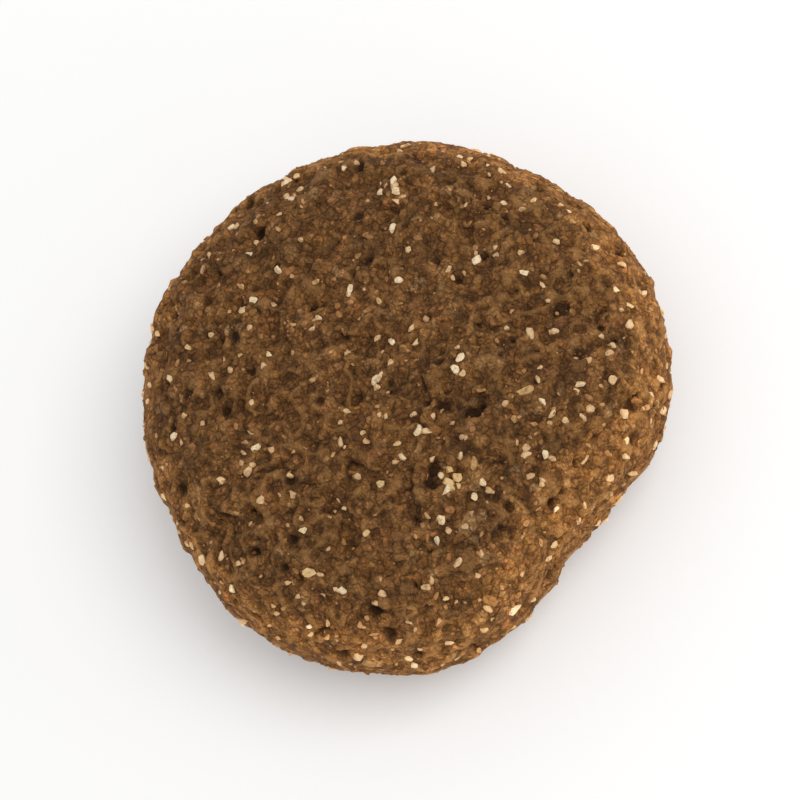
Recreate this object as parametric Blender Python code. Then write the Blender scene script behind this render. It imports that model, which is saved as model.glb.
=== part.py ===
"""One round kibble of dry pet food, lying on its flatter cut face.

Dough is pressed through a round die, sliced by a knife and puffed by steam, so the piece is a short disc:
two nearly flat cut faces, a soft shoulder and a bulged rim. One side was squashed while it was soft.
Winding ridges of shrunk dough, crumb, steam pits and hard grains roughen it everywhere except on the small
flat that it rests on.
Metres, +Z up, with the resting flat on the plane z = 0.
"""

import math
import random

import bmesh
import bpy
import numpy as np
from mathutils import Vector, kdtree, noise

# The disc as the die and the knife give it
DIAMETER = 0.0133
THICKNESS = 0.0050
SHOULDER_WIDTH = 0.00215
UPPER_DOME = 0.00055
LOWER_DOME = 0.00045
REST_DIAMETER = 0.0050
RIM_SQUARENESS = 2.15

# The upper cut isn't quite parallel to the lower one
UPPER_CUT_TILT = math.radians(1.8)
UPPER_CUT_LOW_SIDE = math.radians(-30)

# The outline swells and draws in around the rim: waves in a full turn, their height, direction of a crest
OUTLINE_WAVES = (
    (2, 0.00011, math.radians(128)),
    (3, 0.00009, math.radians(-95)),
    (5, 0.00005, math.radians(20)),
    (9, 0.00003, math.radians(75)),
)

# One side is squashed nearly straight, with a small notch in the middle of it
SQUASH_DIRECTION = math.radians(-44)
SQUASH_DEPTH = 0.00100
SQUASH_WIDTH = 0.0058
NOTCH_DIRECTION = math.radians(-47)
NOTCH_DEPTH = 0.00010
NOTCH_WIDTH = 0.0011

# Uneven puffing: broad swells, then lumps of crumb, then the grit that the lumps are made of
SWELL_SPACING = 0.0042
SWELL_HEIGHT = 0.00016
CRUMB_SPACING = 0.00085
CRUMB_HEIGHT = 0.00009
GRIT_SPACING = 0.00042
GRIT_HEIGHT = 0.00005

# Dough that shrank into winding ridges round shallow hollows, taller in some patches than in others.
# The root is the share of a ridge's height that lies below the mean surface.
RIDGE_SPACING = 0.00125
RIDGE_HEIGHT = 0.00021
RIDGE_SHARPNESS = 3.0
RIDGE_ROOT = 0.35
RIDGE_BEND_SPACING = 0.00090
RIDGE_BEND_REACH = 0.00022
RIDGE_BEND_SHIFT = Vector((5.2, 1.3, 8.7))
RIDGE_PATCH_SPACING = 0.0021
RIDGE_PATCH_DEPTH = 0.7

# Steam pits and hard grains, each with its smallest and largest size
PIT_COUNT = 150
PIT_RADIUS = (0.00030, 0.00054)
PIT_DEPTH = (0.00010, 0.00024)
GRAIN_COUNT = 130
GRAIN_RADIUS = (0.00026, 0.00036)
GRAIN_HEIGHT = (0.00006, 0.00013)
SCATTER_SEED = 41

# The relief fades out over this width around the resting flat
REST_BLEND = 0.0009

# The share of the relief that the rim lacks, because the die leaves it smoother than the knife leaves a cut
RIM_CALM = 0.6

# Each edge of the starting icosahedron is cut into this many lengths
MESH_DIVISIONS = 23
SECTION_STEPS = 240

CRUMB_COLOUR = (0.190, 0.098, 0.040, 1.0)
CRUMB_ROUGHNESS = 0.85


def clear_scene():
    for item in list(bpy.data.objects):
        bpy.data.objects.remove(item, do_unlink=True)


def half_section(dome):
    """Radii and heights above the widest ring, from the middle of a cut face out to that ring."""
    radius = DIAMETER / 2
    face_radius = radius - SHOULDER_WIDTH
    rim_height = THICKNESS / 2 - dome
    turn = np.linspace(0, math.pi / 2, SECTION_STEPS)
    power = 2 / RIM_SQUARENESS
    rim_radii = face_radius + SHOULDER_WIDTH * np.sin(turn) ** power
    rim_heights = rim_height * np.cos(turn) ** power
    face_radii = np.linspace(0, face_radius, SECTION_STEPS, endpoint=False)
    radii = np.concatenate([face_radii, rim_radii])
    heights = np.concatenate([np.full(SECTION_STEPS, rim_height), rim_heights])
    return radii, heights + dome * (1 - (radii / radius) ** 2)


def whole_section():
    """Radii and heights from the middle of the upper face, round the rim, to the middle of the lower face."""
    upper_radii, upper_heights = half_section(UPPER_DOME)
    lower_radii, lower_heights = half_section(LOWER_DOME)
    radii = np.concatenate([upper_radii, lower_radii[-2::-1]])
    heights = np.concatenate([upper_heights, -lower_heights[-2::-1]])
    return radii, heights


def area_shares(radii, heights):
    """The share of the turned surface that lies above each point of the section."""
    strip = np.hypot(np.diff(radii), np.diff(heights)) * (radii[1:] + radii[:-1])
    area = np.concatenate([[0], np.cumsum(strip)])
    return area / area[-1]


def arc_from(turn, direction):
    """Distance along the mean outline between two directions, taken the short way round."""
    return (np.mod(turn - direction + math.pi, 2 * math.pi) - math.pi) * DIAMETER / 2


def outline(turn):
    """Distance from the axis to the rim in each direction."""
    reach = np.full_like(turn, DIAMETER / 2)
    for waves, height, crest in OUTLINE_WAVES:
        reach += height * np.cos(waves * (turn - crest))
    reach -= SQUASH_DEPTH * np.exp(-((2 * arc_from(turn, SQUASH_DIRECTION) / SQUASH_WIDTH) ** 2))
    reach -= NOTCH_DEPTH * np.exp(-((2 * arc_from(turn, NOTCH_DIRECTION) / NOTCH_WIDTH) ** 2))
    return reach


def wrap(directions):
    """Lays the directions of a ball evenly over the kibble's smooth form."""
    radii, heights = whole_section()
    shares = (1 - directions[:, 2]) / 2
    above = area_shares(radii, heights)
    turn = np.arctan2(directions[:, 1], directions[:, 0])
    reach = np.interp(shares, above, radii) * outline(turn) / (DIAMETER / 2)
    height = np.interp(shares, above, heights)
    fall = reach * np.cos(turn - UPPER_CUT_LOW_SIDE) * math.tan(UPPER_CUT_TILT)
    height -= fall * np.clip(2 * height / THICKNESS, 0, 1)
    return np.column_stack([reach * np.cos(turn), reach * np.sin(turn), height])


def rest_height():
    """Height of the resting flat, measured from the widest ring: the plane that trims the lower dome."""
    dome_left = LOWER_DOME * (1 - (REST_DIAMETER / DIAMETER) ** 2)
    return LOWER_DOME - THICKNESS / 2 - dome_left


def even_ball():
    """A unit ball of nearly equal triangles."""
    ball = bmesh.new()
    bmesh.ops.create_icosphere(ball, subdivisions=1, radius=1)
    bmesh.ops.subdivide_edges(ball, edges=ball.edges[:], cuts=MESH_DIVISIONS - 1, use_grid_fill=True)
    for vert in ball.verts:
        vert.co.normalize()
    return ball


def scattered(count, dice):
    """Points spread at random over the smooth form."""
    directions = [Vector([dice.gauss(0, 1) for _ in range(3)]).normalized() for _ in range(count)]
    return wrap(np.array(directions))


def add_spots(relief, tree, dice, count, radii, heights):
    """Raises or sinks round spots of random size, with smooth edges."""
    for centre in scattered(count, dice):
        size = dice.random()
        radius = radii[0] + (radii[1] - radii[0]) * size
        height = heights[0] + (heights[1] - heights[0]) * size
        for _, index, distance in tree.find_range(centre, radius):
            relief[index] += height * math.cos(0.5 * math.pi * distance / radius) ** 2


def puffing(point):
    swell = SWELL_HEIGHT * noise.noise(point / SWELL_SPACING)
    crumb = CRUMB_HEIGHT * noise.noise(point / CRUMB_SPACING)
    grit = GRIT_HEIGHT * noise.noise(point / GRIT_SPACING)
    return swell + crumb + grit


def bent(point):
    """The point, pushed about so that the ridges wind. Each axis is pushed by noise from another place."""
    place = point / RIDGE_BEND_SPACING
    across = noise.noise(place)
    along = noise.noise(place.yzx + RIDGE_BEND_SHIFT)
    up = noise.noise(place.zxy - RIDGE_BEND_SHIFT)
    return point + RIDGE_BEND_REACH * Vector((across, along, up))


def ridges(point):
    """Height of the winding ridges. They run wherever the noise at the bent point is near 0."""
    crest = max(0.0, 1 - RIDGE_SHARPNESS * abs(noise.noise(bent(point) / RIDGE_SPACING)))
    patch = 1 + RIDGE_PATCH_DEPTH * noise.noise(point / RIDGE_PATCH_SPACING)
    return RIDGE_HEIGHT * patch * (crest - RIDGE_ROOT)


def surface_relief(points):
    """How far each point of the smooth form moves out along its normal."""
    tree = kdtree.KDTree(len(points))
    for index, point in enumerate(points):
        tree.insert(point, index)
    tree.balance()
    relief = np.array([puffing(point) + ridges(point) for point in points])
    dice = random.Random(SCATTER_SEED)
    sunk = (-PIT_DEPTH[0], -PIT_DEPTH[1])
    add_spots(relief, tree, dice, PIT_COUNT, PIT_RADIUS, sunk)
    add_spots(relief, tree, dice, GRAIN_COUNT, GRAIN_RADIUS, GRAIN_HEIGHT)
    return relief


def rest_fade(point):
    """0 on the resting flat, 1 clear of it, and a smooth blend between."""
    if point.z > 0:
        return 1.0
    blend = (math.hypot(point.x, point.y) - REST_DIAMETER / 2) / REST_BLEND
    blend = min(max(blend, 0.0), 1.0)
    return blend * blend * (3 - 2 * blend)


def rim_fade(normal):
    """1 where the surface faces straight up or down, and less the more it faces sideways."""
    return 1 - RIM_CALM * (1 - normal.z ** 2)


def shape_kibble(body):
    """Turns the ball into the kibble: smooth form, relief, resting flat, then the frame's origin."""
    for vert, place in zip(body.verts, wrap(np.array([vert.co for vert in body.verts]))):
        vert.co = place
    body.normal_update()
    normals = [vert.normal.copy() for vert in body.verts]
    points = [vert.co.copy() for vert in body.verts]
    flat = rest_height()
    for vert, point, normal, rise in zip(body.verts, points, normals, surface_relief(points)):
        vert.co = point + normal * rise * rest_fade(point) * rim_fade(normal)
        vert.co.z = max(vert.co.z, flat)
    places = np.array([vert.co for vert in body.verts])
    middle = (places.min(axis=0) + places.max(axis=0)) / 2
    bmesh.ops.translate(body, verts=body.verts, vec=(-middle[0], -middle[1], -flat))


def crumb_material():
    material = bpy.data.materials.new("baked_crumb")
    material.use_nodes = True
    shader = material.node_tree.nodes["Principled BSDF"]
    shader.inputs["Base Color"].default_value = CRUMB_COLOUR
    shader.inputs["Roughness"].default_value = CRUMB_ROUGHNESS
    return material


def make_kibble():
    body = even_ball()
    shape_kibble(body)
    mesh = bpy.data.meshes.new("kibble")
    body.to_mesh(mesh)
    body.free()
    mesh.shade_smooth()
    mesh.materials.append(crumb_material())
    kibble = bpy.data.objects.new("kibble", mesh)
    bpy.context.collection.objects.link(kibble)


clear_scene()
make_kibble()
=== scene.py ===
"""The looks of one dry kibble: baked crumb with grains, fibres, pits and cracks, on a plain white floor."""

import math
import random

import bmesh
import bpy
import numpy as np
from mathutils import Matrix, Vector, kdtree, noise


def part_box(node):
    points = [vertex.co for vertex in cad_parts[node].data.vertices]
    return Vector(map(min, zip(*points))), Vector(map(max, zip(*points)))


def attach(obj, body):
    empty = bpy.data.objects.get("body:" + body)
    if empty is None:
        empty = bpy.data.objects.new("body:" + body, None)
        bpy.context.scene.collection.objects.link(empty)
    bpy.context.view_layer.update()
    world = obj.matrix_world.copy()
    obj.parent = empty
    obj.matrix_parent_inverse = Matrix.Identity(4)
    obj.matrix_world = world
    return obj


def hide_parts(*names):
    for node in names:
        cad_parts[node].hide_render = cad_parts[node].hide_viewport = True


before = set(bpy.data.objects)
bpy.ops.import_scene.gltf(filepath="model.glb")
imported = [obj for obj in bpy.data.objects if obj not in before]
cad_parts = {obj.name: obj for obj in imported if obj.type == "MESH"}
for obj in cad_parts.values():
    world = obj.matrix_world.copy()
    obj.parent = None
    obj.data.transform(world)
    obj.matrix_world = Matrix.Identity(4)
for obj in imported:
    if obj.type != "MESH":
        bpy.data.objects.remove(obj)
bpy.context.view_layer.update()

MM = 0.001
SEED = 7
LOW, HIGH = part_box("kibble")
CENTRE = (LOW + HIGH) / 2
RADIUS = (HIGH.x - LOW.x + HIGH.y - LOW.y) / 4

# The fine mesh
MERGE_DISTANCE = 0.001 * MM
EDGE_CUTS = 3
FACET_SMOOTHING = 3

# The resting flat, which model.glb gives as a few long thin triangles
FLAT_LEVEL = 0.002 * MM
FLAT_EDGE = 0.42 * MM
FLAT_ROUNDS = 7

# Near the floor the crust draws in by this much, up to this height, and keeps this far from the floor
FLOOR_SINK = 0.06 * MM
SINK_HEIGHT = 0.4 * MM
FLOOR_GAP = 0.01 * MM

# Thin winding ridges of paste, finer than the solid's own: spacing, height and sharpness.
# The root is the share of a ridge's height that lies below the mean surface.
RIDGES = (0.60 * MM, 0.095 * MM, 3.4)
RIDGE_FLANK = 1.5
RIDGE_ROOT = 0.3
PATCH_SPACING = 1.9 * MM
PATCH_MEAN = 0.8
PATCH_SWING = 0.9
BEND_SPACING = 0.50 * MM
BEND_REACH = 0.13 * MM
BEND_SHIFT = Vector((7.1, 2.9, 4.3))
GRIT_SPACING = 0.19 * MM
GRIT_HEIGHT = 0.050 * MM

# Ground grains in the crust: how many, their radii, and their height as a share of the radius
FINE_GRAINS = (2600, (0.07 * MM, 0.15 * MM), 0.40)
BROAD_GRAINS = (300, (0.15 * MM, 0.26 * MM), 0.28)
GRAIN_STRETCH = 1.9
GRAIN_SQUARENESS = (1.3, 3.0)
GRAIN_LOWEST = 0.5
GRAIN_EDGE_SPACING = 0.14 * MM
GRAIN_EDGE_SWING = 0.3

# Raised fibres and sunk cracks: how many, their steps, the step, their half width and their height or depth
FIBRES = (170, (5, 15), 0.07 * MM, 0.105 * MM, 0.07 * MM)
CRACKS = (60, (4, 13), 0.07 * MM, 0.08 * MM, 0.11 * MM)
CURL = 0.55
WANDER = 0.25
FIBRE_SHADES = (0.3, 0.9)
FIBRE_LUMP_SPACING = 0.16 * MM
FIBRE_LUMP_SWING = 0.8

# Steam pits: how many, their radii and their depths
SMALL_PITS = (300, (0.07 * MM, 0.14 * MM), (0.08 * MM, 0.16 * MM))
LARGE_PITS = (46, (0.14 * MM, 0.22 * MM), (0.12 * MM, 0.20 * MM))
PIT_NARROWING = 0.55
PIT_EDGE_SPACING = 0.13 * MM
PIT_EDGE_SWING = 0.4
PIT_WALL = 0.6
PIT_SEARCH = 1.5

# The share of its relief that the rim lacks
RIM_CALM = 0.3

# Browning, and the painted light that brightens the shoulder and rim, start and end where the surface leans
# this much, with an uneven border
TOAST_AND_LIGHT_LEAN = (0.05, 0.42)
TOAST_AND_LIGHT_BORDER_SPACING = 1.3 * MM
TOAST_AND_LIGHT_BORDER_SWING = 0.06

# How far the crust is averaged, in steps from point to point, and the heights that count as full
LEAN_STEPS = 90
NEARBY_STEPS = 14
AROUND_STEPS = 40
FULL_CREST = 0.12 * MM
FULL_HOLLOW = 0.14 * MM
PASTE_SHADE = 0.35

# Loose bits: how many, and the sizes and shades of the smallest and the largest
FINE_MEAL = (2400, (0.040 * MM, 0.100 * MM), (0.1, 0.8))
COARSE_MEAL = (200, (0.10 * MM, 0.18 * MM), (0.1, 0.8))
PALE_BITS = (1500, (0.034 * MM, 0.152 * MM), (0.05, 0.92))
SHADE_SPREAD = 0.25

# Their forms: height over width, how far the middle stands out as a share of the height, flats broken off
FINE_MEAL_FORM = (0.6, -0.15, 6)
COARSE_MEAL_FORM = (0.45, -0.1, 8)
PALE_BIT_FORM = (0.75, -0.06, 9)
BIT_FINENESS = 2
BIT_DENTS = (0.8, 1.1)
FLAT_DISTANCE = (0.35, 0.8)
BIT_STRETCH = 1.5
BIT_NARROWEST = 0.7
LANDMARK_STRETCH = 1.1

# The clearest grains of the photo's upper face, in millimetres: across and up the face from its middle,
# the size, and then the shade. The first five are one broken yellow grain.
LANDMARKS = (
    (1.73, -2.46, 0.18, 0.82),
    (1.99, -2.60, 0.20, 0.82),
    (1.72, -2.76, 0.18, 0.83),
    (1.95, -2.83, 0.13, 0.81),
    (1.78, -2.94, 0.10, 0.82),
    (-1.95, -2.85, 0.17, 0.62),
    (0.50, 4.85, 0.17, 1.0),
    (0.85, 2.95, 0.13, 0.8),
    (0.60, 2.20, 0.14, 1.0),
    (1.85, 2.35, 0.11, 0.7),
    (1.45, -4.15, 0.14, 1.0),
    (4.00, -3.35, 0.12, 1.0),
    (3.80, -2.85, 0.10, 0.8),
    (-1.30, 1.40, 0.12, 0.9),
    (-3.00, 2.10, 0.13, 1.0),
    (-3.05, 3.70, 0.13, 0.7),
    (-5.10, -1.10, 0.12, 1.0),
    (-3.00, -0.50, 0.11, 0.7),
    (0.15, -2.70, 0.12, 0.8),
    (0.10, -0.45, 0.12, 0.7),
    (-1.80, -5.80, 0.14, 1.0),
    (-0.80, -6.45, 0.16, 0.7),
    (5.20, 2.85, 0.14, 0.86),
    (5.65, 1.75, 0.13, 0.9),
    (2.95, 5.10, 0.13, 0.7),
)

# Its darkest holes, in millimetres: across, up and the radius. The first two lie beside the yellow grain.
HOLLOWS = (
    (1.38, -2.48, 0.16),
    (1.38, -2.78, 0.16),
    (2.30, -1.15, 0.19),
    (-3.85, -0.15, 0.17),
    (-4.65, -0.15, 0.16),
    (-0.15, 2.80, 0.18),
    (-2.00, -2.55, 0.16),
    (1.30, 1.15, 0.15),
    (2.75, 4.00, 0.17),
    (-0.15, -5.60, 0.16),
    (-5.10, -0.85, 0.15),
    (4.80, 0.05, 0.16),
    (-0.40, 4.00, 0.16),
    (-3.00, 3.85, 0.16),
)

WHITE = (1, 1, 1, 1)


def smooth_step(low, high, value):
    share = min(max((value - low) / (high - low), 0.0), 1.0)
    return share * share * (3 - 2 * share)


def random_way(dice):
    return Vector([dice.gauss(0, 1) for _ in range(3)]).normalized()


def random_between(dice, ends):
    return ends[0] + (ends[1] - ends[0]) * dice.random()


def bent(point):
    """The point, pushed about so that the ridges wind. Each axis is pushed by noise from another place."""
    place = point / BEND_SPACING
    push = (noise.noise(place), noise.noise(place.yzx + BEND_SHIFT), noise.noise(place.zxy - BEND_SHIFT))
    return point + BEND_REACH * Vector(push)


def ridge(place, spacing, height, sharpness):
    """Height of a crest that runs wherever the noise is near 0."""
    crest = max(0.0, 1 - sharpness * abs(noise.noise(place / spacing))) ** RIDGE_FLANK
    return height * (crest - RIDGE_ROOT)


def upper_index(points, across, up):
    """The index of the point of the upper side that is nearest to that place, as seen from above."""
    place = Vector((across, up))
    upper = [index for index, point in enumerate(points) if point.z > CENTRE.z]
    return min(upper, key=lambda index: (points[index].xy - place).length_squared)


# The surface

def lies_flat(face):
    return max(vert.co.z for vert in face.verts) < FLAT_LEVEL


def inside_flat(items):
    """The edges or vertices whose faces all lie in the resting flat."""
    return [item for item in items if all(lies_flat(face) for face in item.link_faces)]


def cut_into_triangles(body):
    bmesh.ops.triangulate(body, faces=[face for face in body.faces if len(face.verts) > 3])


def even_out_flat(body):
    """Cuts the resting flat's long thin triangles into small even ones."""
    for _ in range(FLAT_ROUNDS):
        long = [edge for edge in inside_flat(body.edges) if edge.calc_length() > FLAT_EDGE]
        bmesh.ops.subdivide_edges(body, edges=long, cuts=1)
        cut_into_triangles(body)
        flat = [face for face in body.faces if lies_flat(face)]
        bmesh.ops.beautify_fill(body, faces=flat, edges=inside_flat(body.edges), method="ANGLE")
        middle = inside_flat(body.verts)
        bmesh.ops.smooth_vert(body, verts=middle, factor=0.5, use_axis_x=True, use_axis_y=True)


def fine_mesh():
    """The solid's own surface, with each facet cut finer and its edges rounded away."""
    body = bmesh.new()
    body.from_mesh(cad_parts["kibble"].data)
    bmesh.ops.remove_doubles(body, verts=body.verts, dist=MERGE_DISTANCE)
    even_out_flat(body)
    bmesh.ops.subdivide_edges(body, edges=body.edges[:], cuts=EDGE_CUTS, use_grid_fill=True)
    every_way = {"use_axis_x": True, "use_axis_y": True, "use_axis_z": True}
    for _ in range(FACET_SMOOTHING):
        bmesh.ops.smooth_vert(body, verts=body.verts, factor=0.5, **every_way)
    cut_into_triangles(body)
    body.normal_update()
    mesh = bpy.data.meshes.new("kibble_crumb")
    body.to_mesh(mesh)
    body.free()
    return mesh


class Crust:
    """The points of the fine mesh, and for each how far it rises, how deep it sinks and how light it is."""

    def __init__(self, mesh):
        self.points = [vert.co.copy() for vert in mesh.vertices]
        self.normals = [vert.normal.copy() for vert in mesh.vertices]
        self.edges = np.array([edge.vertices[:] for edge in mesh.edges])
        self.tree = kdtree.KDTree(len(self.points))
        for index, point in enumerate(self.points):
            self.tree.insert(point, index)
        self.tree.balance()
        self.rise = np.zeros(len(self.points))
        self.depth = np.zeros(len(self.points))
        self.shade = np.full(len(self.points), PASTE_SHADE)

    def blur(self, values, passes):
        """The values, each averaged with its neighbours' that many times."""
        first, second = self.edges.T
        count = np.bincount(self.edges.ravel(), minlength=len(values)) + 1
        for _ in range(passes):
            total = values + np.bincount(first, values[second], len(values))
            total += np.bincount(second, values[first], len(values))
            values = total / count
        return values

    def spread_paste(self):
        """Paste that has shrunk into thin winding ridges, higher in some places than in others."""
        for index, point in enumerate(self.points):
            patch = PATCH_MEAN + PATCH_SWING * noise.noise(point / PATCH_SPACING)
            grit = GRIT_HEIGHT * noise.noise(point / GRIT_SPACING)
            self.rise[index] = patch * ridge(bent(point), *RIDGES) + grit

    def add_grains(self, dice, count, radii, height):
        """Ground grains in the paste: low domes, from round to angular, each with a shade of its own."""
        ground = self.rise.copy()
        for _ in range(count):
            index = dice.randrange(len(self.points))
            centre, normal = self.points[index], self.normals[index]
            radius = random_between(dice, radii)
            long = radius * dice.uniform(1, GRAIN_STRETCH)
            along = random_way(dice)
            along = (along - normal * along.dot(normal)).normalized()
            beside = normal.cross(along)
            squareness = dice.uniform(*GRAIN_SQUARENESS)
            shade = dice.random()
            top = ground[index] + radius * height * dice.uniform(GRAIN_LOWEST, 1)
            for point, near, _ in self.tree.find_range(centre, long):
                away = point - centre
                wide = abs(away.dot(along)) / long
                high = abs(away.dot(beside)) / radius
                reach = (wide ** squareness + high ** squareness) ** (1 / squareness)
                reach *= 1 + GRAIN_EDGE_SWING * noise.noise(point / GRAIN_EDGE_SPACING)
                if reach < 1:
                    level = top * (1 - reach * reach) ** 0.5
                    if level > self.rise[near]:
                        self.rise[near] = level
                        self.shade[near] = shade

    def walk(self, dice, steps, step):
        """Places along a wandering line over the surface, and for each its share of the full height."""
        count = dice.randint(*steps)
        index = dice.randrange(len(self.points))
        heading = random_way(dice)
        bend = dice.uniform(-CURL, CURL)
        for number in range(count):
            place, normal = self.points[index], self.normals[index]
            heading += bend * normal.cross(heading) + WANDER * random_way(dice)
            heading = (heading - normal * heading.dot(normal)).normalized()
            yield place, math.sin(math.pi * (number + 0.5) / count) ** 0.5
            _, index, _ = self.tree.find(place + heading * step)

    def add_fibres(self, dice, count, steps, step, width, height):
        for _ in range(count):
            shade = dice.uniform(*FIBRE_SHADES)
            for place, share in self.walk(dice, steps, step):
                share *= 1 + FIBRE_LUMP_SWING * noise.noise(place / FIBRE_LUMP_SPACING)
                for _, near, distance in self.tree.find_range(place, width):
                    level = height * share * (1 - (distance / width) ** 2)
                    if level > self.rise[near]:
                        self.rise[near] = level
                        self.shade[near] = shade

    def add_cracks(self, dice, count, steps, step, width, depth):
        for _ in range(count):
            for place, share in self.walk(dice, steps, step):
                for _, near, distance in self.tree.find_range(place, width):
                    self.depth[near] = max(self.depth[near], depth * share * (1 - distance / width))

    def sink_pit(self, dice, centre, radius, deep):
        """A round to ragged hole that steam left."""
        long_way = random_way(dice)
        narrow = dice.uniform(0.0, PIT_NARROWING)
        for point, index, _ in self.tree.find_range(centre, radius * PIT_SEARCH):
            away = point - centre
            along = away.dot(long_way)
            ragged = 1 + PIT_EDGE_SWING * noise.noise(point / PIT_EDGE_SPACING)
            reach = math.sqrt(max(away.length_squared - narrow * along * along, 0.0)) * ragged / radius
            if reach < 1:
                self.depth[index] = max(self.depth[index], deep * (1 - reach * reach) ** PIT_WALL)

    def add_pits(self, dice, count, radii, depths):
        for _ in range(count):
            radius = random_between(dice, radii)
            deep = random_between(dice, depths)
            self.sink_pit(dice, self.points[dice.randrange(len(self.points))], radius, deep)

    def add_hollows(self, dice):
        for across, up, radius in HOLLOWS:
            centre = self.points[upper_index(self.points, across * MM, up * MM)]
            self.sink_pit(dice, centre, radius * MM, radius * MM)

    def toast_and_light(self):
        """0 on the cut faces, 1 on the shoulder and rim, which are browned and also get painted light."""
        ways = np.column_stack([self.blur(part, LEAN_STEPS) for part in np.array(self.normals).T])
        leans = 1 - np.abs(ways[:, 2]) / np.linalg.norm(ways, axis=1)
        border = [TOAST_AND_LIGHT_BORDER_SWING * noise.noise(point / TOAST_AND_LIGHT_BORDER_SPACING) for point in self.points]
        return np.array([smooth_step(*TOAST_AND_LIGHT_LEAN, lean) for lean in leans + border])

    def write(self, mesh):
        """Moves the mesh's points, and leaves on it what the material needs."""
        toast_and_light = self.toast_and_light()
        moves = self.rise * (1 - RIM_CALM * toast_and_light) - self.depth
        for vert, point, normal, move in zip(mesh.vertices, self.points, self.normals, moves):
            sink = FLOOR_SINK * (1 - smooth_step(0, SINK_HEIGHT, point.z))
            vert.co = point + normal * (move - sink)
            vert.co.z = max(vert.co.z, FLOOR_GAP)
        # The crest and hollow values below drive painted light on the crests and painted shade in low
        # places and hollows
        nearby = self.blur(self.rise, NEARBY_STEPS)
        around = self.blur(nearby, AROUND_STEPS)
        for name, values in (
            ("crest", 0.5 + (self.rise - 0.5 * nearby - 0.5 * around) / FULL_CREST),
            ("hollow", self.depth / FULL_HOLLOW),
            ("shade", self.shade),
            ("toast_and_light", toast_and_light),
        ):
            attribute = mesh.attributes.new(name, "FLOAT", "POINT")
            attribute.data.foreach_set("value", np.clip(values, 0, 1).astype(np.float32))


def make_crumb(dice):
    mesh = fine_mesh()
    crust = Crust(mesh)
    crust.spread_paste()
    crust.add_grains(dice, *FINE_GRAINS)
    crust.add_grains(dice, *BROAD_GRAINS)
    crust.add_fibres(dice, *FIBRES)
    crust.add_pits(dice, *SMALL_PITS)
    crust.add_pits(dice, *LARGE_PITS)
    crust.add_hollows(dice)
    crust.add_cracks(dice, *CRACKS)
    crust.write(mesh)
    mesh.shade_smooth()
    mesh.materials.clear()
    mesh.materials.append(crumb_material())
    crumb = bpy.data.objects.new("kibble_crumb", mesh)
    bpy.context.collection.objects.link(crumb)
    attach(crumb, "root")
    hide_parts("kibble")
    return crumb


# Loose bits

def ball():
    """A ball of radius 1, as its points and its triangles."""
    body = bmesh.new()
    bmesh.ops.create_icosphere(body, subdivisions=BIT_FINENESS, radius=1)
    points = np.array([vert.co for vert in body.verts])
    faces = np.array([[vert.index for vert in face.verts] for face in body.faces])
    body.free()
    return points, faces


class Bits:
    """Many small broken bits in one mesh, each partly sunk in the crumb."""

    def __init__(self, crumb, flatness, stand, cuts):
        self.vertices = crumb.data.vertices
        self.browning_and_light = np.zeros(len(self.vertices), np.float32)
        crumb.data.attributes["toast_and_light"].data.foreach_get("value", self.browning_and_light)
        self.points, self.faces = ball()
        self.flatness, self.stand, self.cuts = flatness, stand, cuts
        self.forms, self.shades, self.toast_and_light_shares = [], [], []

    def broken_form(self, dice):
        """A ball with flats broken off it."""
        form = self.points * np.array([[dice.uniform(*BIT_DENTS)] for _ in self.points])
        for _ in range(self.cuts):
            way = np.array(random_way(dice))
            form -= np.outer(np.maximum(form @ way - dice.uniform(*FLAT_DISTANCE), 0), way)
        return form

    def add(self, dice, vert, size, shade, stretch=BIT_STRETCH):
        normal = vert.normal
        along = random_way(dice)
        along = (along - normal * along.dot(normal)).normalized()
        beside = normal.cross(along)
        length = dice.uniform(1, stretch)
        width = dice.uniform(BIT_NARROWEST, 1)
        axes = np.array([along * length, beside * width, normal * self.flatness])
        form = self.broken_form(dice) @ (axes * size)
        form += np.array(vert.co + normal * (size * self.flatness * self.stand))
        form[:, 2] = np.maximum(form[:, 2], 0)
        self.forms.append(form)
        self.shades.append(shade)
        self.toast_and_light_shares.append(self.browning_and_light[vert.index])

    def scatter(self, dice, count, sizes, shades):
        """Bits at random. The larger a bit is, the lighter it tends to be."""
        for _ in range(count):
            vert = self.vertices[dice.randrange(len(self.vertices))]
            share = dice.random() ** 2
            size = sizes[0] + (sizes[1] - sizes[0]) * share
            shade = shades[0] + (shades[1] - shades[0]) * share + dice.uniform(-SHADE_SPREAD, SHADE_SPREAD)
            self.add(dice, vert, size, min(max(shade, 0.0), 1.0))

    def make(self, name, material, smooth):
        count = len(self.points)
        faces = np.concatenate([self.faces + count * number for number in range(len(self.forms))])
        mesh = bpy.data.meshes.new(name)
        mesh.from_pydata(np.concatenate(self.forms).tolist(), [], faces.tolist())
        for label, values in (("shade", self.shades), ("toast_and_light", self.toast_and_light_shares)):
            attribute = mesh.attributes.new(label, "FLOAT", "POINT")
            attribute.data.foreach_set("value", np.repeat(values, count).astype(np.float32))
        if smooth:
            mesh.shade_smooth()
        mesh.materials.append(material)
        bits = bpy.data.objects.new(name, mesh)
        bpy.context.collection.objects.link(bits)
        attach(bits, "root")


# Materials

# How much a line winds. For granules: the size of the bends in their grooves, how far they are pushed, and
# the groove's width, all as shares of their size. For flecks: the share of the reach that is full.
LINE_WINDING = 0.4
GRANULE_BEND = 0.6
GRANULE_PUSH = 0.5
GRANULE_GROOVE = 0.15
FLECK_CORE = 0.6


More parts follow.
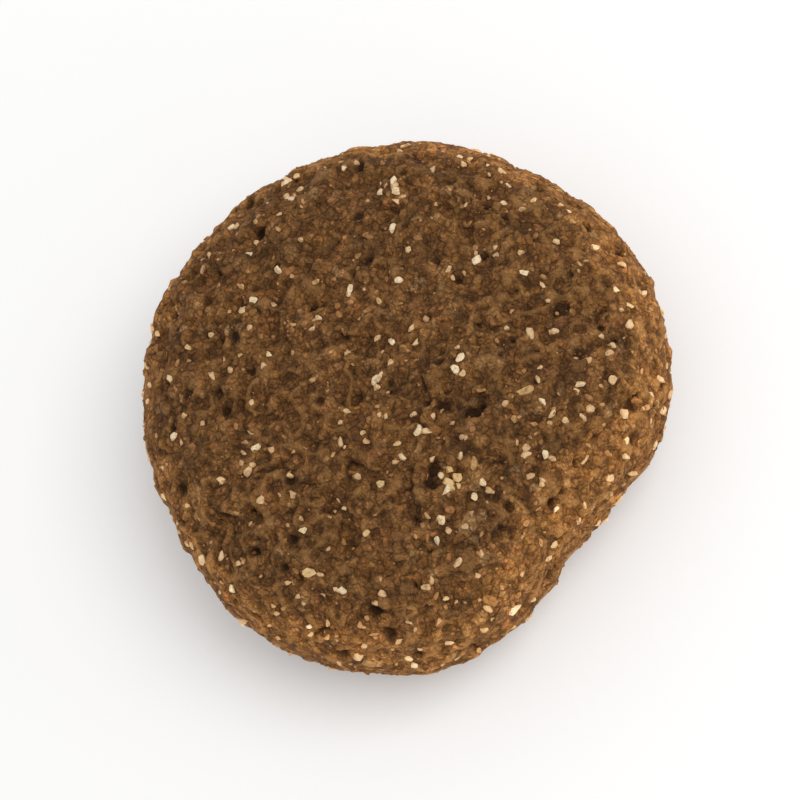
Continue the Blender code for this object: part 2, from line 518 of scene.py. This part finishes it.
class Nodes:
    """Short calls for building one material's node tree."""

    def __init__(self, name):
        self.material = bpy.data.materials.new(name)
        self.material.use_nodes = True
        self.tree = self.material.node_tree
        self.shader = self.tree.nodes["Principled BSDF"]
        self.place = self.tree.nodes.new("ShaderNodeTexCoord").outputs["Object"]

    def link(self, source, target):
        self.tree.links.new(source, target)

    def noise(self, size, detail=4, roughness=0.6, distortion=0.0):
        """Noise with features of about that size, in metres, as a value from 0 to 1."""
        node = self.tree.nodes.new("ShaderNodeTexNoise")
        node.inputs["Scale"].default_value = 1 / size
        node.inputs["Detail"].default_value = detail
        node.inputs["Roughness"].default_value = roughness
        node.inputs["Distortion"].default_value = distortion
        self.link(self.place, node.inputs["Vector"])
        return node.outputs["Fac"]

    def crests(self, size, width):
        """1 along thin winding lines about that size apart, falling to 0 beside them."""
        winding = self.noise(size, detail=2, distortion=LINE_WINDING)
        side = self.maths("ABSOLUTE", self.maths("SUBTRACT", winding, 0.5), 0)
        return self.spread(side, 0, width, 1, 0)

    def granules(self, size):
        """Packed crumbs of about that size, as two values: one for each crumb's own tone, from 0 to 1, and
        one that is 1 inside the crumbs and 0 in the grooves between them."""
        shift = self.tree.nodes.new("ShaderNodeTexNoise")
        shift.inputs["Scale"].default_value = 1 / (GRANULE_BEND * size)
        self.link(self.place, shift.inputs["Vector"])
        moved = self.tree.nodes.new("ShaderNodeVectorMath")
        moved.operation = "MULTIPLY_ADD"
        self.link(shift.outputs["Color"], moved.inputs[0])
        moved.inputs[1].default_value = (GRANULE_PUSH * size,) * 3
        self.link(self.place, moved.inputs[2])
        own = self.tree.nodes.new("ShaderNodeTexVoronoi")
        edge = self.tree.nodes.new("ShaderNodeTexVoronoi")
        edge.feature = "DISTANCE_TO_EDGE"
        for node in (own, edge):
            node.inputs["Scale"].default_value = 1 / size
            self.link(moved.outputs["Vector"], node.inputs["Vector"])
        return own.outputs["Color"], self.spread(edge.outputs["Distance"], 0, GRANULE_GROOVE)

    def flecks(self, size, share, reach):
        """1 in a small round fleck in some of the cells of that size, and 0 elsewhere."""
        node = self.tree.nodes.new("ShaderNodeTexVoronoi")
        node.inputs["Scale"].default_value = 1 / size
        self.link(self.place, node.inputs["Vector"])
        parts = self.tree.nodes.new("ShaderNodeSeparateColor")
        self.link(node.outputs["Color"], parts.inputs["Color"])
        chosen = self.maths("GREATER_THAN", parts.outputs["Red"], 1 - share)
        round_fleck = self.spread(node.outputs["Distance"], reach, FLECK_CORE * reach)
        return self.maths("MULTIPLY", chosen, round_fleck)

    def attribute(self, name):
        node = self.tree.nodes.new("ShaderNodeAttribute")
        node.attribute_name = name
        return node.outputs["Fac"]

    def spread(self, value, low, high, start=0.0, end=1.0):
        """The value moved from the range low to high into the range start to end."""
        node = self.tree.nodes.new("ShaderNodeMapRange")
        for socket, number in zip(("From Min", "From Max", "To Min", "To Max"), (low, high, start, end)):
            node.inputs[socket].default_value = number
        self.link(value, node.inputs["Value"])
        return node.outputs["Result"]

    def ramp(self, value, stops):
        """The colour for a value: each stop is a place from 0 to 1 and a colour."""
        node = self.tree.nodes.new("ShaderNodeValToRGB")
        elements = node.color_ramp.elements
        while len(elements) < len(stops):
            elements.new(0.5)
        for element, (place, colour) in zip(elements, stops):
            element.position = place
            element.color = colour
        self.link(value, node.inputs["Fac"])
        return node.outputs["Color"]

    def maths(self, operation, first, second):
        node = self.tree.nodes.new("ShaderNodeMath")
        node.operation = operation
        for socket, value in zip(node.inputs, (first, second)):
            if isinstance(value, (int, float)):
                socket.default_value = value
            else:
                self.link(value, socket)
        return node.outputs["Value"]

    def mix(self, share, first, second, blend="MIX"):
        node = self.tree.nodes.new("ShaderNodeMix")
        node.data_type = "RGBA"
        node.blend_type = blend
        colours = [socket for socket in node.inputs if socket.type == "RGBA"]
        for socket, value in zip([node.inputs["Factor"], *colours], (share, first, second)):
            if isinstance(value, (int, float, tuple)):
                socket.default_value = value
            else:
                self.link(value, socket)
        return next(socket for socket in node.outputs if socket.type == "RGBA")

    def toasted_and_lit(self, colour, share=1.0):
        """The colour, lighter on the shoulder and rim by that share of what the paste gains there: partly
        real browning, partly painted light.
        """
        toast_and_light = self.spread(self.attribute("toast_and_light"), 0, 1, 0, share)
        return self.mix(1.0, colour, self.mix(toast_and_light, WHITE, TOAST_AND_LIGHT_GAIN), "MULTIPLY")

    def bump(self, height, distance):
        node = self.tree.nodes.new("ShaderNodeBump")
        node.inputs["Distance"].default_value = distance
        self.link(height, node.inputs["Height"])
        self.link(node.outputs["Normal"], self.shader.inputs["Normal"])


def srgb(red, green, blue):
    """A colour as it shows on a screen, from 0 to 255, as the linear colour that a shader takes."""
    linear = [((part / 255 + 0.055) / 1.055) ** 2.4 for part in (red, green, blue)]
    return (*linear, 1)


CUT_FACE = srgb(114, 71, 31)
REDDISH = srgb(148, 84, 46)
OLIVE = srgb(108, 82, 42)
# Pale on the crests: partly a real dusting of paste, partly painted light on their tops
CREST_DUST_AND_LIGHT = srgb(200, 146, 86)
# Dark brown in low places, hollows and pores: painted shade, and in the hollows partly a darker crumb as
# well
DARK_CRUMB_AND_SHADE = srgb(50, 28, 12)
# What the shoulder and rim gain over the cut faces: partly real browning, partly painted light that makes
# the rim brighter than the face
TOAST_AND_LIGHT_GAIN = (1.88, 1.83, 1.68, 1)
MEAL_SHADES = (
    (0.0, srgb(98, 63, 31)),
    (0.3, srgb(124, 84, 43)),
    (0.6, srgb(146, 102, 56)),
    (0.76, srgb(166, 120, 72)),
    (0.84, srgb(158, 102, 60)),
    (0.92, srgb(196, 154, 100)),
    (1.0, srgb(222, 184, 130)),
)
PALE_SHADES = (
    (0.0, srgb(168, 116, 66)),
    (0.3, srgb(198, 148, 94)),
    (0.65, srgb(230, 188, 136)),
    (0.78, srgb(236, 198, 148)),
    (0.82, srgb(228, 188, 126)),
    (0.86, srgb(242, 208, 158)),
    (1.0, srgb(254, 228, 184)),
)


# The range that most of a noise's values lie in
NOISE_RANGE = (0.3, 0.7)

# Sizes of what the crumb's material shows, from broad to fine
OLIVE_PATCHES = 2.2 * MM
REDDISH_PATCHES = 1.6 * MM
SWELLS = 1.5 * MM
LUMPS = 0.7 * MM
DULL_PATCHES = 0.3 * MM
COARSE_GRANULES = 0.24 * MM
SMALL_GRANULES = 0.11 * MM
FINE_RELIEF = 0.07 * MM
CRUMB_BUMP = 0.08 * MM

# Winding lines: how far apart, and how wide in the noise's value. Creases count for less than wrinkles.
FOLDS = (0.85 * MM, 0.09)
WRINKLES = (0.42 * MM, 0.05)
CREASES = (0.20 * MM, 0.06)
CREASE_SHARE = 0.6

# Pores: how far apart their cells are, the share of the cells that have one, and its reach in the cell
PORES = (0.34 * MM, 0.14, 0.24)

# The share of the crumb's colour that its grains and its granules give
GRAIN_SHARE = 0.4
GRANULE_SHARE = 0.35

# Where other tones cover the crumb: the start and the end of the range that they follow, and their share
# at both
REDDISH_COVER = (0.56, 0.76, 0, 0.3)
OLIVE_COVER = (0.52, 0.72, 0, 0.3)
# Painted light on the crests, partly a real pale dusting
CREST_COVER = (0.55, 1.0, 0, 0.5)
# Painted shade in the low places between the crests
LOW_COVER = (0.42, 0.0, 0, 0.4)
# Painted shade in the hollows, partly a darker crumb as well
HOLLOW_COVER = (0.1, 0.9, 0, 0.85)
# Painted shade in the pores
PORE_COVER = (0, 1, 0, 0.5)

CRUMB_ROUGHNESS = (0.65, 0.95)
CRUMB_GLOSS = 0.22

# Sizes of what the bits' materials show, and how the paste that is dusted over them covers them
BIT_DULL_PATCHES = 0.15 * MM
BIT_DUST = 0.10 * MM
BIT_MOTTLE = 0.09 * MM
BIT_GRIT = 0.07 * MM
BIT_BUMP = 0.05 * MM
DUST_COVER = (0.55, 0.66, 0, 0.45)


def crumb_material():
    n = Nodes("baked_crumb_surface")
    colour = n.mix(GRAIN_SHARE, CUT_FACE, n.ramp(n.attribute("shade"), MEAL_SHADES))
    colour = n.mix(n.spread(n.noise(REDDISH_PATCHES), *REDDISH_COVER), colour, REDDISH)
    colour = n.mix(n.spread(n.noise(OLIVE_PATCHES, distortion=0.6), *OLIVE_COVER), colour, OLIVE)
    fine_relief = n.noise(FINE_RELIEF, detail=5, roughness=0.8)
    coarse, coarse_inside = n.granules(COARSE_GRANULES)
    small, small_inside = n.granules(SMALL_GRANULES)
    colour = n.mix(GRANULE_SHARE, colour, n.ramp(coarse, MEAL_SHADES))
    folds = n.crests(*FOLDS)
    creases = n.maths("MULTIPLY", n.crests(*CREASES), CREASE_SHARE)
    wrinkles = n.maths("ADD", n.crests(*WRINKLES), creases)
    pores = n.flecks(*PORES)

    # Each value with its range, and how light the crumb is at the range's two ends
    for value, low, high, dark, light in (
        (n.noise(SWELLS, detail=2), *NOISE_RANGE, 0.93, 1.07),
        (n.noise(LUMPS, detail=2), *NOISE_RANGE, 0.88, 1.12),
        # Painted shade in the grooves between the coarse granules
        (coarse_inside, 0, 1, 0.60, 1.12),
        (small, 0, 1, 0.76, 1.24),
        # Painted shade in the grooves between the small granules
        (small_inside, 0, 1, 0.66, 1.12),
        # Painted light along the raised folds and wrinkles
        (folds, 0, 1, 0.86, 1.40),
        (wrinkles, 0, 1 + CREASE_SHARE, 0.88, 1.5),
        # Painted light on the fine relief's highs and painted shade in its lows
        (fine_relief, *NOISE_RANGE, 0.80, 1.20),
    ):
        colour = n.mix(1.0, colour, n.spread(value, low, high, dark, light), "MULTIPLY")
    # Painted light on the crests (partly real dust), and painted shade in the low places, the hollows and
    # the pores
    colour = n.mix(n.spread(n.attribute("crest"), *CREST_COVER), colour, CREST_DUST_AND_LIGHT)
    colour = n.mix(n.spread(n.attribute("crest"), *LOW_COVER), colour, DARK_CRUMB_AND_SHADE)
    colour = n.mix(n.spread(n.attribute("hollow"), *HOLLOW_COVER), colour, DARK_CRUMB_AND_SHADE)
    colour = n.mix(n.spread(pores, *PORE_COVER), colour, DARK_CRUMB_AND_SHADE)
    # Lighter shoulder and rim: partly browning, partly painted light
    n.link(n.toasted_and_lit(colour), n.shader.inputs["Base Color"])
    n.link(n.spread(n.noise(DULL_PATCHES), *NOISE_RANGE, *CRUMB_ROUGHNESS), n.shader.inputs["Roughness"])
    n.shader.inputs["Specular IOR Level"].default_value = CRUMB_GLOSS

    # What stands up or sinks in under the light, and by what share of the bump's height
    relief = fine_relief
    for height, share in (
        (coarse_inside, 0.5),
        (small_inside, 0.25),
        (wrinkles, 0.3),
        (folds, 0.5),
        (pores, -1.0),
    ):
        relief = n.maths("ADD", relief, n.maths("MULTIPLY", height, share))
    n.bump(relief, CRUMB_BUMP)
    return n.material


def bit_material(name, shades, roughness, gloss, speckle, browning_and_light):
    """A grain with paste dusted over it, mottled by the speckle, and lighter by that share on the rim:
    partly browned, partly painted light.
    """
    n = Nodes(name)
    colour = n.ramp(n.attribute("shade"), shades)
    colour = n.mix(n.spread(n.noise(BIT_DUST, detail=3), *DUST_COVER), colour, CUT_FACE)
    mottle = n.spread(n.noise(BIT_MOTTLE, detail=3, roughness=0.7), *NOISE_RANGE, 1 - speckle, 1 + speckle)
    n.link(n.toasted_and_lit(n.mix(1.0, colour, mottle, "MULTIPLY"), browning_and_light), n.shader.inputs["Base Color"])
    dull = n.spread(n.noise(BIT_DULL_PATCHES), *NOISE_RANGE, roughness - 0.1, roughness + 0.1)
    n.link(dull, n.shader.inputs["Roughness"])
    n.shader.inputs["Specular IOR Level"].default_value = gloss
    n.bump(n.noise(BIT_GRIT, detail=4, roughness=0.7), BIT_BUMP)
    return n.material


def meal_material(name):
    return bit_material(name, MEAL_SHADES, roughness=0.85, gloss=0.2, speckle=0.4, browning_and_light=0.8)


def pale_material(name):
    return bit_material(name, PALE_SHADES, roughness=0.36, gloss=0.55, speckle=0.14, browning_and_light=0.45)


# The three kinds of bits

def make_fine_meal(dice, crumb):
    meal = Bits(crumb, *FINE_MEAL_FORM)
    meal.scatter(dice, *FINE_MEAL)
    meal.make("fine_meal", meal_material("fine_meal_crumb"), smooth=False)


def make_coarse_meal(dice, crumb):
    meal = Bits(crumb, *COARSE_MEAL_FORM)
    meal.scatter(dice, *COARSE_MEAL)
    meal.make("coarse_meal", meal_material("coarse_meal_crumb"), smooth=True)


def make_pale_bits(dice, crumb):
    """Pale grains at random, and then the ones that the photo shows clearly."""
    pale = Bits(crumb, *PALE_BIT_FORM)
    pale.scatter(dice, *PALE_BITS)
    surface = [vert.co for vert in crumb.data.vertices]
    for across, up, size, shade in LANDMARKS:
        vert = crumb.data.vertices[upper_index(surface, across * MM, up * MM)]
        pale.add(dice, vert, size * MM, shade, stretch=LANDMARK_STRETCH)
    pale.make("pale_bits", pale_material("pale_bit"), smooth=False)


# Stage

KEY_AZIMUTH = 92
KEY_ELEVATION = 58
KEY_DISTANCE = 120 * MM
KEY_SIZE = 80 * MM
KEY_RADIANCE = 3.6
SKY_STRENGTH = 0.60

FLOOR_HALF = 60 * RADIUS
FLOOR_DARKER = (0.95, 0.95, 0.945, 1)
FLOOR_LIGHTER = (0.97, 0.97, 0.965, 1)
FLOOR_PATCHES = 8 * MM
FLOOR_ROUGHNESS = 0.9
FLOOR_GLOSS = 0.1

# How much lighter than lit the floor shows, near the kibble and far from it, so that it is white all over
FLOOR_LIFT = (0.09, 0.46)
FLOOR_REACH = (12 * MM, 110 * MM)
VIEW_AZIMUTH = 40
VIEW_ELEVATION = 66
VIEW_FILL = 0.68
LENS = 90
SENSOR = 36


def make_floor():
    mesh = bpy.data.meshes.new("floor")
    corners = [(x * FLOOR_HALF, y * FLOOR_HALF, 0) for x, y in ((-1, -1), (1, -1), (1, 1), (-1, 1))]
    mesh.from_pydata(corners, [], [(0, 1, 2, 3)])
    floor = bpy.data.objects.new("floor", mesh)
    bpy.context.collection.objects.link(floor)
    n = Nodes("white_floor")
    n.link(n.mix(n.noise(FLOOR_PATCHES), FLOOR_DARKER, FLOOR_LIGHTER), n.shader.inputs["Base Color"])
    n.shader.inputs["Roughness"].default_value = FLOOR_ROUGHNESS
    n.shader.inputs["Specular IOR Level"].default_value = FLOOR_GLOSS
    n.shader.inputs["Emission Color"].default_value = WHITE
    path = n.tree.nodes.new("ShaderNodeLightPath")
    away = n.tree.nodes.new("ShaderNodeVectorMath")
    away.operation = "LENGTH"
    n.link(n.place, away.inputs[0])
    lift = n.spread(away.outputs["Value"], *FLOOR_REACH, *FLOOR_LIFT)
    n.link(n.maths("MULTIPLY", lift, path.outputs["Is Camera Ray"]), n.shader.inputs["Emission Strength"])
    mesh.materials.append(n.material)


def way_out(azimuth, elevation):
    """The direction from the kibble: azimuth 0 is the -Y side, 90 the +X side."""
    around, up = math.radians(azimuth), math.radians(elevation)
    return Vector((math.sin(around) * math.cos(up), -math.cos(around) * math.cos(up), math.sin(up)))


def aim(item, way, distance, top):
    """Puts a lamp or camera that way out, looking back at the kibble, with its top edge that way up."""
    side = top.cross(way).normalized()
    turn = Matrix((side, way.cross(side), way)).transposed()
    item.matrix_world = Matrix.Translation(CENTRE + way * distance) @ turn.to_4x4()


def add_key():
    """A square softbox. Its radiance is 1 where it would light a white card fully from all round."""
    data = bpy.data.lights.new("key", "AREA")
    data.shape = "SQUARE"
    data.size = KEY_SIZE
    data.energy = KEY_RADIANCE * math.pi * KEY_SIZE * KEY_SIZE
    lamp = bpy.data.objects.new("key", data)
    bpy.context.collection.objects.link(lamp)
    aim(lamp, way_out(KEY_AZIMUTH, KEY_ELEVATION), KEY_DISTANCE, Vector((0, 0, 1)))


def make_world():
    world = bpy.data.worlds.new("studio")
    world.use_nodes = True
    tree = world.node_tree
    background = tree.nodes["Background"]
    background.inputs["Color"].default_value = WHITE
    path = tree.nodes.new("ShaderNodeLightPath")
    strength = tree.nodes.new("ShaderNodeMapRange")
    strength.inputs["To Min"].default_value = SKY_STRENGTH
    strength.inputs["To Max"].default_value = 1.0
    tree.links.new(path.outputs["Is Camera Ray"], strength.inputs["Value"])
    tree.links.new(strength.outputs["Result"], background.inputs["Strength"])
    bpy.context.scene.world = world


def make_camera():
    """The photo's view of the piece: from over its squashed side, with +Y at the top of the picture."""
    data = bpy.data.cameras.new("camera")
    data.lens = LENS
    data.sensor_width = SENSOR
    data.clip_start = 0.5 * MM
    camera = bpy.data.objects.new("camera", data)
    bpy.context.collection.objects.link(camera)
    distance = 2 * RADIUS / VIEW_FILL * LENS / SENSOR
    aim(camera, way_out(VIEW_AZIMUTH, VIEW_ELEVATION), distance, Vector((0, 1, 0)))
    bpy.context.scene.camera = camera


dice = random.Random(SEED)
crumb = make_crumb(dice)
make_fine_meal(dice, crumb)
make_coarse_meal(dice, crumb)
make_pale_bits(dice, crumb)
make_floor()
make_world()
add_key()
make_camera()
bpy.context.scene.view_settings.view_transform = "Standard"
